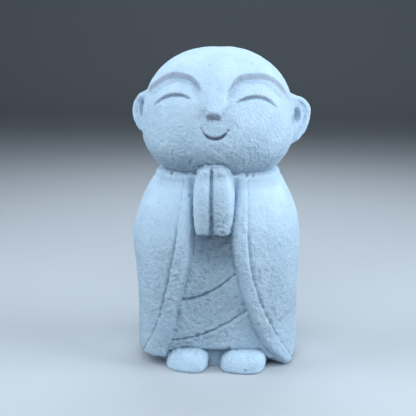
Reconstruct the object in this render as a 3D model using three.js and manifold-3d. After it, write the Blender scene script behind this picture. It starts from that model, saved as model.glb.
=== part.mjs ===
// A small jizo figure, cast in one piece from pale cement stone: a round bald head with long ears and a
// smiling face, hands pressed together at the chin, a cloak open at the front over a wrapped robe, and two bare
// round feet.
//
// Millimetres, +Z up, the face looks along -Y and +X is the figure's own left. The origin is on the ground
// plane, at the middle of the flat underside.
//
// Every form is a stack of closed rings. A ring runs counter-clockwise seen from above, and turn 0 is straight
// ahead of the figure. The figure's proportions are shares of its height.
import * as THREE from "three";
import Module from "manifold-3d";

const HEIGHT = 100; // ground to crown
const U = HEIGHT / 100; // one hundredth of the height

// Head: a squashed ball, fuller than an ellipsoid, widest at the cheeks.
const HEAD = {
  middle: 76 * U, // height of the widest level
  above: 24 * U, // widest level to crown
  below: 18.5 * U, // widest level to the hidden bottom inside the collar
  halfWidth: 24.2 * U,
  front: 21.5 * U, // depth ahead of the axis
  back: 20.5 * U,
  plan: 2.2, // roundness seen from above, 2 is an ellipse
  rise: 2.2, // roundness of the outline, as two powers
  spread: 2.3,
};

// Face: distances from the middle of the face, heights from the ground.
const BROW = { across: 11.6 * U, top: 93.8 * U, ledge: 2.4 * U, depth: 1.25 * U, fade: 9.5 * U };
const BROW_INNER = { reach: 7.1 * U, drop: 4.4 * U, power: 4, end: 1 };
const BROW_OUTER = { reach: 8.6 * U, drop: 5 * U, power: 2.2, end: 1.1 };
const TEMPLE = { start: 18.8 * U, width: 4 * U }; // where the eye socket runs out at the side
// The closed eyes are arches, the right-hand one of the picture a little flatter.
const EYES = [
  { side: 1, across: 13.8 * U, top: 86.9 * U, innerDrop: 1.8 * U, outerDrop: 3 * U },
  { side: -1, across: 12.4 * U, top: 87.3 * U, innerDrop: 2 * U, outerDrop: 3.3 * U },
];
const EYE = { half: 5.8 * U, slope: 1.1 * U, edge: 0.45 * U, depth: 1 * U };
const NOSE = { root: 91 * U, tip: 81.6 * U, base: 79.4 * U, side: 2.4 * U, rise: 1.05 * U };
const NOSE_HALF_WIDTH = [
  [79, 2.7],
  [81.6, 2.9],
  [84, 3.5],
  [88, 4],
  [91, 4.6],
];
const MOUTH = { middle: 0.25 * U, low: 73.95 * U, half: 3.9 * U, curl: 2.6 * U };
const LIP = { slope: 1.1 * U, edge: 0.45 * U, depth: 1 * U }; // the smile's carved line

// Ears: dished flaps, turned half to the front. The right-hand ear of the picture hangs lower.
const EARS = [
  { side: 1, middle: 79.2 * U, up: 6.3 * U, down: 10.8 * U, reach: 29.1 * U },
  { side: -1, middle: 79 * U, up: 7.5 * U, down: 8.6 * U, reach: 28.2 * U },
];
const EAR = { root: 4.6 * U, turn: 30, thickness: 3.4 * U, dish: 1.7 * U, back: 1.9 * U };

// Cloak outline: [height, depth] of the level sections.
const CLOAK_FRONT = [
  [0, 20.4],
  [10, 20.9],
  [30, 21.3],
  [42, 21.2],
  [50, 20.2],
  [57, 18.4],
  [61.6, 16.9],
];
const CLOAK_BACK = [
  [0, 20],
  [14, 20.6],
  [40, 20.6],
  [50, 19.4],
  [57, 17.6],
  [61.6, 16.2],
];
const CLOAK_TOP = 62.4 * U; // where the collar meets the head
const COLLAR = { edge: 61.4 * U, inner: 16 * U }; // its outer corner, and where it ends inside the head
const PLAN_LOW = 3.1; // squareness of the plan at the ground
const PLAN_HIGH = 2.5; // and at the collar

// Each side of the cloak: [height, distance from the middle] of its outline and of its front band's inner edge
// and groove, and [place round the cloak, height] of its hem.
const CLOAK_SIDES = [
  {
    side: 1,
    outline: [
      [0, 25.2],
      [3, 25.7],
      [12, 25.9],
      [20, 25.8],
      [30, 26.1],
      [40, 26.5],
      [48, 25.2],
      [54, 22.9],
      [58, 20.9],
      [60.6, 19.4],
      [61.6, 18.9],
    ],
    inner: [
      [0, 23],
      [2.5, 21],
      [5, 18.9],
      [8.4, 16],
      [16, 12.1],
      [24.5, 9.2],
      [33, 7.2],
      [42, 6.1],
      [50, 7.2],
      [57, 7.8],
      [62, 7],
    ],
    groove: [
      [0, 25.2],
      [4.5, 23.6],
      [8.5, 21.4],
      [13.5, 18.8],
      [21.4, 15.1],
      [28.6, 12.7],
      [36, 11.3],
      [46, 10.5],
      [62, 9.9],
    ],
    hem: [
      [0, 3],
      [1, 0.5],
      [2, 0.5],
      [3, 1],
    ],
  },
  {
    side: -1,
    outline: [
      [0, 24.6],
      [3, 25.1],
      [12, 25.4],
      [20, 25.4],
      [30, 26.1],
      [40, 27],
      [48, 25.6],
      [54, 23.2],
      [58, 21.1],
      [60.6, 19.5],
      [61.6, 18.9],
    ],
    inner: [
      [0, 17.2],
      [5.7, 15.7],
      [12.5, 13.2],
      [19.4, 11.1],
      [26, 9.4],
      [35, 7.6],
      [43, 7],
      [50, 7.7],
      [57, 8],
      [62, 7.7],
    ],
    groove: [
      [0, 24.2],
      [5.7, 22],
      [10.6, 19.2],
      [17, 16.9],
      [23.5, 15.2],
      [34, 12.9],
      [43.6, 11.4],
      [52, 10.7],
      [62, 9.6],
    ],
    hem: [
      [0, 3.6],
      [1, 3.4],
      [2, 3],
      [2.35, 1.6],
      [3, 1],
    ],
  },
];
const BAND_RISE = 0.75 * U; // how far the band stands above the sleeves
const GROOVE_DEPTH = 0.55 * U;
const OPENING_DEPTH = 7 * U; // how deep the cloak is cut for the robe and hands

// Robe: its front face as [height, depth], wrapped in laps whose upper edges stand proud.
const ROBE_FRONT = [
  [0, 18.2],
  [8, 18.4],
  [25, 18.1],
  [40, 17.6],
  [50, 17.2],
  [58, 16],
];
const ROBE_HALF_WIDTH = [
  [0, 24],
  [12, 22.6],
  [40, 19],
  [62, 13.5],
];
const ROBE = { top: 62 * U, back: 12 * U, plan: 3.4, hem: 6.9 * U, hemSide: 3 * U };
// Each fold: its height at the middle, its lean, how far the lap below it stands out and how deep it is grooved.
const FOLDS = [
  { middle: 12.7 * U, tilt: 0.48, bend: 0.006 / U, step: 0.9 * U, groove: 0.5 * U },
  { middle: 26.2 * U, tilt: 0.58, bend: 0.008 / U, step: 0.9 * U, groove: 0.5 * U },
  { middle: 39.4 * U, tilt: 0.44, bend: 0.004 / U, step: 0.5 * U, groove: 0.3 * U },
];
const GROOVE_SHARE = 0.12; // the groove's share of the lap it runs into

// Base: the flat foot of the casting, set back under the hem.
const BASE = { halfWidth: 22 * U, front: 15.9 * U, back: 18 * U, plan: 3 };

const FEET = [
  { side: 1, across: 9.4 * U, half: 7.3 * U },
  { side: -1, across: 8.2 * U, half: 6.8 * U },
];
const FOOT = { toe: 22.9 * U, length: 19 * U, height: 6.6 * U, plan: 2.9, rise: 3.2, sole: 0.35 * U };

// Hands: each a tall half bean, cut off at the wrist.
const HANDS = [
  { side: 1, inner: -0.35 * U, outer: 6.4 * U },
  { side: -1, inner: 0.7 * U, outer: 6.3 * U },
];
const HAND = { wrist: 44.3 * U, tip: 65.7 * U, front: 23.4 * U, back: 11.5 * U, plan: 2.8 };
// [share of the hand's height, share of its width]
const HAND_WIDTH = [
  [0, 0.74],
  [0.14, 0.86],
  [0.35, 0.98],
  [0.5, 1],
  [0.68, 0.97],
  [0.84, 0.86],
  [0.94, 0.7],
  [1, 0.36],
];

const wasm = await Module();
wasm.setup();

const { abs, sin, cos, asin, PI, min, max, sqrt, sign } = Math;
const clamp = (x) => min(max(x, 0), 1);
const smooth = (x) => clamp(x) ** 2 * (3 - 2 * clamp(x)); // eases from 0 to 1
const mix = (a, b, share) => a + (b - a) * share;
const signedPower = (x, power) => sign(x) * abs(x) ** power;
const shares = (count) => Array.from({ length: count }, (_, i) => i / count);

// A smooth curve through [position, value] points, level beyond the last ones.
function curve(points, unit = 1, valueUnit = unit) {
  const at = points.map((p) => p[0] * unit);
  const value = points.map((p) => p[1] * valueUnit);
  const last = points.length - 1;
  const slope = points.map((_, i) => {
    const [a, b] = [max(i - 1, 0), min(i + 1, last)];
    return (value[b] - value[a]) / (at[b] - at[a]);
  });
  return (x) => {
    if (x <= at[0]) return value[0];
    if (x >= at[last]) return value[last];
    const i = at.findIndex((p) => p > x) - 1;
    const span = at[i + 1] - at[i];
    const s = (x - at[i]) / span;
    const bend = (slope[i] * (1 - s) - slope[i + 1] * s) * span + (value[i + 1] - value[i]) * (2 * s - 1);
    return mix(value[i], value[i + 1], s) + s * (1 - s) * bend;
  };
}

// A point of a rounded-square section: turn from straight ahead, depths ahead of and behind the axis.
function sectionPoint(turn, halfWidth, front, back, plan) {
  const depth = cos(turn) > 0 ? front : back;
  return [halfWidth * signedPower(sin(turn), 2 / plan), -depth * signedPower(cos(turn), 2 / plan)];
}

// A closed solid from a stack of rings, each end closed by a fan.
function stack(rings) {
  const count = rings[0].length;
  const points = rings.flat();
  const faces = [];
  const quad = (a, b, c, d) => {
    const acrossAC = points[a].distanceTo(points[c]);
    const acrossBD = points[b].distanceTo(points[d]);
    faces.push(...(acrossAC <= acrossBD ? [a, b, c, a, c, d] : [a, b, d, b, c, d]));
  };
  for (let ring = 0; ring + 1 < rings.length; ring++)
    for (let i = 0; i < count; i++) {
      const next = (i + 1) % count;
      quad(ring * count + i, ring * count + next, (ring + 1) * count + next, (ring + 1) * count + i);
    }
  const fan = (first, upwards) => {
    const middle = new THREE.Vector3();
    for (let i = 0; i < count; i++) middle.addScaledVector(points[first + i], 1 / count);
    points.push(middle);
    for (let i = 0; i < count; i++) {
      const next = first + ((i + 1) % count);
      faces.push(points.length - 1, ...(upwards ? [first + i, next] : [next, first + i]));
    }
  };
  fan(0, false);
  fan((rings.length - 1) * count, true);
  const mesh = new wasm.Mesh({
    numProp: 3,
    vertProperties: new Float32Array(points.flatMap((p) => [p.x, p.y, p.z])),
    triVerts: new Uint32Array(faces),
  });
  return new wasm.Manifold(mesh);
}

// Lines of the face, as heights at a distance x from its middle.
function browLine(x) {
  const away = abs(x) - BROW.across;
  const arm = away < 0 ? BROW_INNER : BROW_OUTER;
  return BROW.top - arm.drop * min(abs(away) / arm.reach, arm.end) ** arm.power;
}

function eyeLine(x) {
  const eye = EYES[x < 0 ? 1 : 0];
  const away = abs(x) - eye.across;
  return eye.top - (away < 0 ? eye.innerDrop : eye.outerDrop) * min((away / EYE.half) ** 2, 1.05);
}

function mouthLine(x) {
  return MOUTH.low + LIP.slope + MOUTH.curl * min(((x - MOUTH.middle) / MOUTH.half) ** 2, 1.1);
}

// A carved line: slopes in under its upper edge and comes back out at a short lower edge.
function carvedLine(below, { slope, edge, depth }, share) {
  if (below <= 0 || below >= slope + edge) return 0;
  return -depth * share * (below < slope ? below / slope : (slope + edge - below) / edge);
}

const noseHalfWidth = curve(NOSE_HALF_WIDTH, U);

// How far the carved face stands out from the plain head at a distance x from its middle and a height z.
function faceRelief(x, z) {
  const under = browLine(x) - z;
  const temple = 1 - smooth((abs(x) - TEMPLE.start) / TEMPLE.width);
  const cheek = 1 - smooth((under - BROW.ledge) / BROW.fade);
  const socket = -BROW.depth * temple * cheek * clamp(under / BROW.ledge);
  const along = clamp((NOSE.root - z) / (NOSE.root - NOSE.tip));
  const tipShare = z > NOSE.tip ? along ** 1.5 : clamp((z - NOSE.base) / (NOSE.tip - NOSE.base));
  const half = noseHalfWidth(z);
  const ridge = NOSE.rise * tipShare * (1 - 0.35 * min(abs(x) / half, 1) ** 2);
  const onNose = (1 - smooth((abs(x) - half + NOSE.side / 2) / NOSE.side)) * clamp((z - NOSE.base) / U);
  const eye = EYES[x < 0 ? 1 : 0];
  const eyeShare = max(1 - ((abs(x) - eye.across) / EYE.half) ** 4, 0);
  const mouthShare = max(1 - ((x - MOUTH.middle) / MOUTH.half) ** 4, 0);
  return (
    mix(socket, ridge, onNose) +
    carvedLine(eyeLine(x) - z, EYE, eyeShare) +
    carvedLine(mouthLine(x) - z, LIP, mouthShare)
  );
}

// The head's surface at a turn and a height, with the face carved into its front.
function headPoint(turn, z, carved = true) {
  const reach = z > HEAD.middle ? HEAD.above : HEAD.below;
  const level = min(abs(z - HEAD.middle) / reach, 1);
  const size = (1 - level ** HEAD.rise) ** (1 / HEAD.spread);
  const [x, y] = sectionPoint(turn, HEAD.halfWidth * size, HEAD.front * size, HEAD.back * size, HEAD.plan);
  const point = new THREE.Vector3(x, y, z);
  if (!carved || cos(turn) <= 0) return point;
  const outwards = new THREE.Vector3(x, y, z - HEAD.middle).normalize();
  return point.addScaledVector(outwards, faceRelief(x, z) * smooth((cos(turn) - 0.1) / 0.2));
}

// The head's rings follow the lines of the face at the front and are level at the back.
function head() {
  const level = (z) => () => z;
  const shifted = (line, by) => (x) => line(x) - by;
  const guides = [
    [level(HEAD.middle - HEAD.below * 0.93), 3],
    [level(66.5 * U), 3],
    [shifted(mouthLine, LIP.slope + LIP.edge + 0.3 * U), 1],
    [shifted(mouthLine, LIP.slope + LIP.edge), 1],
    [shifted(mouthLine, LIP.slope), 1],
    [mouthLine, 1],
    [level(NOSE.base), 1],
    [level(NOSE.tip), 2],
    [shifted(eyeLine, EYE.slope + EYE.edge + 0.3 * U), 1],
    [shifted(eyeLine, EYE.slope + EYE.edge), 1],
    [shifted(eyeLine, EYE.slope), 1],
    [eyeLine, 2],
    [shifted(browLine, BROW.ledge), 1],
    [browLine, 3],
    [level(95.3 * U), 1],
  ];
  const ahead = [0, 1.7, 3.4, 5.1, 6.8, 8.4, 10, 12.5, 15.5, 19, 23, 27.5, 32, 36.5, 41, 46, 51, 57, 64];
  const behind = [73, 84, 97, 112, 128, 145, 162];
  const half = [...ahead, ...behind].map((degrees) => (degrees * PI) / 180);
  const turns = [...half, PI, ...half.slice(1).reverse().map((t) => 2 * PI - t)];
  const rows = [];
  guides.slice(0, -1).forEach(([line, steps], g) => {
    for (const share of shares(steps)) rows.push((x) => mix(line(x), guides[g + 1][0](x), share));
  });
  rows.push(level(95.3 * U));
  const rings = rows.map((row) =>
    turns.map((turn) => {
      const facing = smooth((cos(turn) + 0.1) / 0.6);
      let z = row(0);
      for (let pass = 0; pass < 4; pass++) z = mix(row(22 * U), row(headPoint(turn, z, false).x), facing);
      return headPoint(turn, z);
    }),
  );
  for (const crown of [0.88, 0.94, 0.98, 0.997])
    rings.push(turns.map((turn) => headPoint(turn, HEAD.middle + HEAD.above * crown)));
  return stack(rings);
}

// An ear: a flap with a raised rim round a dished middle, standing out and back from the side of the head.
function ear({ side, middle, up, down, reach }) {
  const turn = (EAR.turn * PI) / 180;
  const half = EAR.root + (reach - HEAD.halfWidth) / cos(turn);
  const centre = new THREE.Vector3(reach - half * cos(turn), 0, middle);
  const outwards = new THREE.Vector3(cos(turn), sin(turn), 0);
  const facing = new THREE.Vector3(sin(turn), -cos(turn), 0);
  // [share of the outline, distance towards the front face]
  const profile = [
    [0.45, -0.5 * EAR.thickness],
    [0.86, -0.42 * EAR.thickness],
    [1, 0],
    [0.95, 0.36 * EAR.thickness],
    [0.82, 0.5 * EAR.thickness],
    [0.62, 0.5 * EAR.thickness - 0.45 * EAR.dish],
    [0.42, 0.5 * EAR.thickness - EAR.dish],
    [0.2, 0.5 * EAR.thickness - EAR.dish],
  ];
  const rings = profile.map(([size, ahead]) =>
    shares(20).map((share) => {
      const angle = side * share * 2 * PI;
      const tall = sin(angle) > 0 ? up : down;
      const point = centre
        .clone()
        .addScaledVector(outwards, half * size * cos(angle))
        .addScaledVector(facing, ahead)
        .add(new THREE.Vector3(0, EAR.back, tall * size * sin(angle)));
      return point.setX(side * point.x);
    }),
  );
  return stack(rings);
}

const cloakFront = curve(CLOAK_FRONT, U);
const cloakBack = curve(CLOAK_BACK, U);
const planAt = (z) => mix(PLAN_LOW, PLAN_HIGH, clamp(z / CLOAK_TOP));

// A point of the cloak's plain surface moved out by a distance, at a turn and a height.
function cloakPoint(turn, halfWidth, z, out) {
  const [x, y] = sectionPoint(turn, halfWidth + out, cloakFront(z) + out, cloakBack(z) + out, planAt(z));
  return new THREE.Vector3(x, y, z);
}

// The cloak, one side at a time. Place 0 is the middle of the front, 1 the band's inner edge, 2 its groove and
// 3 the middle of the back.
function cloak() {
  const opening = [0, 0.5, 0.94];
  const band = [1, 1.12, 1.32, 1.6, 1.85, 1.94];
  const sleeve = [2, 2.04, 2.12, 2.2, 2.29, 2.38, 2.47, 2.57, 2.68, 2.79, 2.9];
  const places = [...opening, ...band, ...sleeve];
  const skirt = [0, 0.02, 0.06, 0.12, 0.19, 0.27, 0.35, 0.43, 0.51];
  const shoulders = [0.58, 0.65, 0.71, 0.77, 0.83, 0.88, 0.92, 0.96, 1];
  const sides = CLOAK_SIDES.map(({ side, outline, inner, groove, hem }) => ({
    side,
    outline: curve(outline, U),
    inner: curve(inner, U),
    groove: curve(groove, U),
    hem: curve(hem, 1, U),
  }));
  const turnAt = (x, halfWidth, z) => asin(clamp(x / halfWidth) ** (planAt(z) / 2));
  const relief = (place) => {
    if (place < 1) return -OPENING_DEPTH;
    if (place > 2) return 0;
    return place === 2 ? -GROOVE_DEPTH : BAND_RISE * min(1, 8 * (place - 1), 9 * (2 - place)) ** 0.6;
  };
  const pointAt = ({ side, outline, inner, groove, hem }, place, share) => {
    const low = hem(place);
    const z = low + (COLLAR.edge - low) * share;
    const halfWidth = outline(z);
    const [first, second] = [turnAt(inner(z), halfWidth, z), turnAt(groove(z), halfWidth, z)];
    const turn =
      place < 1 ? first * place : place < 2 ? mix(first, second, place - 1) : mix(second, PI, place - 2);
    const rounding = place < 1 ? 0 : 1.1 * U * (1 - sqrt(clamp((z - low) / U + 0.2)));
    const point = cloakPoint(turn, halfWidth, z, relief(place) - rounding);
    return point.setX(side * point.x);
  };
  const ring = (share) => [
    ...places.map((place) => pointAt(sides[0], place, share)),
    pointAt(sides[0], 3, share),
    ...places
      .slice(1)
      .reverse()
      .map((place) => pointAt(sides[1], place, share)),
  ];
  const rings = [...skirt, ...shoulders].map(ring);
  const edge = rings.at(-1);
  const inwards = (size, z) => edge.map((p) => new THREE.Vector3(p.x * size, p.y * size, z));
  rings.push(inwards(COLLAR.inner / sides[0].outline(COLLAR.edge), CLOAK_TOP));
  return stack(rings);
}

const robeFront = curve(ROBE_FRONT, U);
const robeHalfWidth = curve(ROBE_HALF_WIDTH, U);
const foldHeight = ({ middle, tilt, bend }, x) => middle + tilt * x + bend * x * x;

// The robe and the flat base below its hem. Its rings follow the folds, each of which is a step out below a line.
function robe() {
  const turns = [];
  for (let degrees = -180; degrees < 180; degrees += abs(degrees) > 70 ? 22 : 4.4) {
    turns.push((degrees * PI) / 180);
  }
  const nearHem = (x) => mix(ROBE.hem, ROBE.hemSide, smooth((abs(x) - 13 * U) / (5 * U)));
  const basePoint = (turn, z, out) =>
    new THREE.Vector3(
      ...sectionPoint(turn, BASE.halfWidth + out, BASE.front + out, BASE.back + out, BASE.plan),
      z,
    );
  const robePoint = (turn, line, out) => {
    let [x, y, z] = [0, 0, line(0)];
    for (let pass = 0; pass < 5; pass++) {
      [x, y] = sectionPoint(turn, robeHalfWidth(z), robeFront(z) + out, ROBE.back, ROBE.plan);
      z = line(x);
    }
    return new THREE.Vector3(x, y, z);
  };
  const rings = [
    turns.map((turn) => basePoint(turn, 0, 0)),
    turns.map((turn) => {
      const { x } = basePoint(turn, 0, 0);
      return basePoint(turn, nearHem(x) - 1.1 * U, 0);
    }),
    turns.map((turn) => robePoint(turn, nearHem, 0)),
  ];
  const folds = FOLDS.map((fold) => (x) => foldHeight(fold, x));
  const lines = [(x) => nearHem(x) + 0.6 * U, ...folds, () => ROBE.top];
  for (let lap = 0; lap + 1 < lines.length; lap++) {
    const upper = FOLDS[lap];
    const lower = FOLDS[lap - 1];
    const rows = upper ? [0.02, GROOVE_SHARE, 0.5, 0.95] : [0.02, GROOVE_SHARE, 0.6, 1];
    for (const share of rows) {
      const proud = upper ? upper.step * share ** 1.5 : 0;
      const groove = lower ? lower.groove * max(1 - share / GROOVE_SHARE, 0) : 0;
      const lowest = rings.length * 0.05 * U;
      const line = (x) => max(mix(lines[lap](x), lines[lap + 1](x), share), nearHem(x) + lowest);
      rings.push(turns.map((turn) => robePoint(turn, line, proud - groove)));
    }
  }
  return stack(rings);
}

// A foot: a low dome with a flat sole.
function foot({ side, across, half }) {
  const middle = FOOT.toe - FOOT.length / 2;
  const ring = (share, size) =>
    shares(18).map((around) => {
      const depth = (FOOT.length / 2) * size;
      const [x, y] = sectionPoint(around * 2 * PI, half * size, depth, depth, FOOT.plan);
      return new THREE.Vector3(side * across + x, y - middle, share * FOOT.height);
    });
  const soleShare = 1 - FOOT.sole / half;
  const rings = [0.08, 0.3, 0.5, 0.68, 0.82, 0.92, 0.98].map((share) =>
    ring(share, (1 - share ** FOOT.rise) ** (1 / FOOT.plan)),
  );
  return stack([ring(0, soleShare), ...rings]);
}

// A hand: flat towards its pair, round outside, with a rounded tip and a straight cut at the wrist.
function hand({ side, inner, outer }) {
  const widthShare = curve(HAND_WIDTH);
  const rings = [0, 0.05, 0.2, 0.4, 0.6, 0.75, 0.86, 0.94, 0.985, 1].map((share) => {
    const size = widthShare(share);
    const half = ((outer - inner) / 2) * size;
    const middle = inner + half;
    const depth = ((HAND.front - HAND.back) / 2) * mix(1, size, 0.8);
    return shares(16).map((around) => {
      const [x, y] = sectionPoint(around * 2 * PI, half, depth, depth, HAND.plan);
      return new THREE.Vector3(
        side * middle + x,
        y - (HAND.front + HAND.back) / 2,
        mix(HAND.wrist, HAND.tip, share),
      );
    });
  });
  return stack(rings);
}

// All forms joined into the one casting.
function statue() {
  const forms = [cloak(), robe(), head(), ...EARS.map(ear), ...FEET.map(foot), ...HANDS.map(hand)];
  const joined = forms.reduce((whole, form) => whole.add(form));
  const { vertProperties, triVerts } = joined.getMesh();
  const geometry = new THREE.BufferGeometry();
  geometry.setAttribute("position", new THREE.BufferAttribute(vertProperties, 3));
  geometry.setIndex(new THREE.BufferAttribute(triVerts, 1));
  geometry.computeVertexNormals();
  const stone = new THREE.MeshStandardMaterial({ color: 0xbccbd9, roughness: 0.92, metalness: 0 });
  const mesh = new THREE.Mesh(geometry, stone);
  mesh.name = "jizo_statue";
  return mesh;
}

const figure = new THREE.Group();
figure.add(statue());

export default figure;
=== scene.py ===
"""A small jizo figure of pale cast cement: the finished surface of the one-piece casting, on a pale studio
floor.

The casting is made of closed forms (cloak, robe, head, ears, feet and hands), each a stack of rings worked
out as whole arrays. They are melted into one skin, softened as a mould softens them, roughened, and thinned to
a usable mesh. Every shape is written in hundredths of the figure's height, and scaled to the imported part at
the end. Sides are 1 for the figure's own left and -1 for its right.
"""

import math

import bpy
import numpy as np
from mathutils import Matrix, Vector


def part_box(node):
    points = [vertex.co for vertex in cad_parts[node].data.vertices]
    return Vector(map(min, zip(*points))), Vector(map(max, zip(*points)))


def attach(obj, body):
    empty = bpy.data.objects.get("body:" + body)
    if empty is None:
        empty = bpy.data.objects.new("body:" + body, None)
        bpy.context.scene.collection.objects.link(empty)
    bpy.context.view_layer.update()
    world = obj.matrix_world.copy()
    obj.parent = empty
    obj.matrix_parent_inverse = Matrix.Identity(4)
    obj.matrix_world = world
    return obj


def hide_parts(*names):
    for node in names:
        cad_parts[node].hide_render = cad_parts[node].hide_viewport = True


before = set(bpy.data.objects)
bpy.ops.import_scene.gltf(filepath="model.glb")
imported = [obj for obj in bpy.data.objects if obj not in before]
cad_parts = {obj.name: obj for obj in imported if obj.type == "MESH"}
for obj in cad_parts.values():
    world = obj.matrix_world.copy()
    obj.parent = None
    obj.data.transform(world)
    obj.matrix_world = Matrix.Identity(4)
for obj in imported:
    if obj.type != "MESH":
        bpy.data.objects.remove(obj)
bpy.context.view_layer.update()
NODE = "jizo_statue"
FLOOR_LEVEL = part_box(NODE)[0].z
SOLID_HEIGHT = 99.93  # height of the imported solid, in hundredths of the figure's height
UNIT = (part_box(NODE)[1].z - FLOOR_LEVEL) / SOLID_HEIGHT  # one hundredth of the height, in metres
HEIGHT = 100 * UNIT

# Head: a squashed ball, fuller than an ellipsoid, widest at the cheeks.
HEAD_MIDDLE = 76.0
HEAD_ABOVE = 24.0
HEAD_BELOW = 18.5
HEAD_HALF_WIDTH = 24.2
HEAD_FRONT = 21.5
HEAD_BACK = 20.5
HEAD_PLAN = 2.2
HEAD_RISE = 2.2
HEAD_SPREAD = 2.3
HEAD_ENDS = (-0.97, 0.9995)  # lowest and highest ring, as shares of the way to the ball's poles
HEAD_COLUMNS = 961
HEAD_ROWS = 521
FACE_COLUMNS = 0.45  # how far the columns crowd towards the face
FACE_EDGE = (0.03, 0.15)  # cosine of the turn at which the face starts, and the reach of its fade

# Face. The brow's ledge starts at a line; the eyes and the smile are cut along arcs. An arch's arms are given
# as (fall, power, furthest reach).
BROWS = {
    1: {"across": 12.0, "top": 93.1, "inner": (3.0, 4.0, 1.15), "outer": (2.9, 2.5, 1.6)},
    -1: {"across": 12.2, "top": 93.2, "inner": (2.3, 3.0, 1.25), "outer": (3.4, 1.7, 1.6)},
}
BROW_REACH = 7.0
BROW_LEDGE = 1.9
BROW_DEPTH = 1.9
BROW_FADE = 7.5
BROW_FADE_POWER = 1.6
SOCKET_FOOT = (80.5, 88.5)
BRIDGE = (3.6, 5.0)
TEMPLE = (20.6, 24.0)
EYES = {
    1: {"across": 12.4, "top": 86.9, "inner": 1.8, "outer": 3.1, "middle": 12.7},
    -1: {"across": 11.4, "top": 87.3, "inner": 2.2, "outer": 2.3, "middle": 13.0},
}
EYE_REACH = 6.0
EYE_HALF = 6.5
EYE_POWER = 2.2
EYE_ENDS = 4  # power with which the eye's line runs out
NOSE_ROOT = 91.0
NOSE_TIP = 81.6
NOSE_BASE = 79.4
NOSE_RISE = 2.1
NOSE_ROUNDING = 0.4
NOSE_SIDE = ((79, 1.3), (81.6, 1.7), (84, 3.0), (88, 3.8), (91, 4.4))
NOSE_HALF_WIDTH = ((79, 2.2), (81.6, 2.2), (84, 3.7), (88, 4.2), (91, 4.9))
MOUTH_MIDDLE = 0.4
MOUTH_TOP = 74.6
MOUTH_HALF = 4.3
MOUTH_CURL = 3.1
MOUTH_POWER = 2.6
MOUTH_ENDS = 5
EYE_CUT = {"slope": 1.05, "edge": 0.25, "depth": 1.7}
MOUTH_CUT = {"slope": 1.2, "edge": 0.25, "depth": 1.8}

# Each ear: its middle's height, how far it goes up, down and outwards, and its hollow's place and half size.
EARS = (
    {
        "side": 1, "middle": 79.2, "up": 6.3, "down": 10.8, "reach": 29.1,
        "hollow": (0.5, -1.0), "size": (1.4, 2.3),
    },
    {
        "side": -1, "middle": 79.0, "up": 7.5, "down": 8.6, "reach": 28.2,
        "hollow": (0.3, 0.8), "size": (1.25, 2.7),
    },
)
EAR_ROOT = 4.6
EAR_TURN = math.radians(30)
EAR_THICKNESS = 3.4
EAR_BACK = 1.9
EAR_DISH = 0.75
EAR_RIM = (0.87, 0.12)  # where the dish reaches the rim, as a share of the half size, and its bank
EAR_BOWL = (0.7, 0.4, 0.3)  # the same for the dish's deeper middle, with its share of the depth
EAR_HOLLOW = 1.9
EAR_HOLLOW_EDGE = (1.2, 0.45)
EAR_COLUMNS = 241
EAR_ROWS = 161
# Where the ears grow out of the head: (middle, half size, power) across, upwards and backwards.
EAR_JOINT = {"across": (24.2, 1.3, 4), "up": (79, 8, 6), "back": (1, 7, 4)}
EAR_JOINT_ROUNDS = 40

CLOAK_FRONT = ((0, 20.4), (10, 20.9), (30, 21.3), (42, 21.2), (50, 20.2), (57, 18.4), (61.6, 16.9))
CLOAK_BACK = ((0, 20), (14, 20.6), (40, 20.6), (50, 19.4), (57, 17.6), (61.6, 16.2))
CLOAK_TOP = 62.4
COLLAR_EDGE = 61.4
COLLAR_INNER = 16.0
PLAN_LOW = 3.1
PLAN_HIGH = 2.5
# Each side: outline, band's inner edge and band's groove as (height, distance from the middle); hem as
# (place round the cloak, height), where place 1 is the band's inner edge, 2 the groove and 3 the middle of
# the back; and the depth of the crease under the collar.
CLOAK_SIDES = (
    {
        "side": 1,
        "outline": (
            (0, 25.2), (3, 25.7), (12, 25.9), (20, 25.8), (30, 26.1), (40, 26.5), (48, 25.2), (54, 22.9),
            (58, 20.9), (60.6, 19.4), (61.6, 18.9),
        ),
        "inner": (
            (0, 23.3), (2.5, 21.6), (5, 19.8), (8.4, 17), (16, 13.1), (24.5, 10.1), (33, 7.8), (42, 6.1),
            (50, 6.8), (57, 7.5), (62, 6.9),
        ),
        "groove": (
            (0, 25.2), (4.5, 23.6), (8.5, 21.4), (13.5, 18.8), (21.4, 15.1), (28.6, 12.7), (36, 11.3),
            (46, 10.5), (62, 9.9),
        ),
        "hem": ((0, 3), (1, 0.5), (2, 0.5), (3, 1)),
        "neck": 0.14,
    },
    {
        "side": -1,
        "outline": (
            (0, 24.6), (3, 25.1), (12, 25.4), (20, 25.4), (30, 26.1), (40, 27), (48, 25.6), (54, 23.2),
            (58, 21.1), (60.6, 19.5), (61.6, 18.9),
        ),
        "inner": (
            (0, 17.2), (5.7, 15.7), (12.5, 13.4), (19.4, 11.9), (26, 10.2), (35, 8.2), (43, 7.2), (50, 7.3),
            (57, 7.4), (62, 7.2),
        ),
        "groove": (
            (0, 24.2), (5.7, 22), (10.6, 19.2), (17, 16.9), (23.5, 15.2), (34, 12.9), (43.6, 11.2),
            (52, 10.0), (62, 9.0),
        ),
        "hem": ((0, 3.6), (1, 3.4), (2, 3), (2.35, 1.6), (3, 1)),
        "neck": 0.3,
    },
)
HEM_ROUND = {"height": 1.9, "depth": 1.5}
COLLAR_LIP = {"rise": 0.3, "below": 0.5, "width": 0.55}
BAND_RISE = 0.8
BAND_WALL = (0.94, 0.06)  # place at which the wall up to the band starts, and its reach
BAND_ROUND = (0.34, 0.3)  # reach of the band's rounding, in places, at its inner edge and at its groove
GROOVE_DEPTH = 0.85
GROOVE_FADE = (40, 50)  # heights between which the groove grows faint
GROOVE_LEFT = 0.3  # share of its depth that is left above them
GROOVE_BANK = 0.016  # width of the groove's outer bank, as a share of the way round the sleeve
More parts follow.
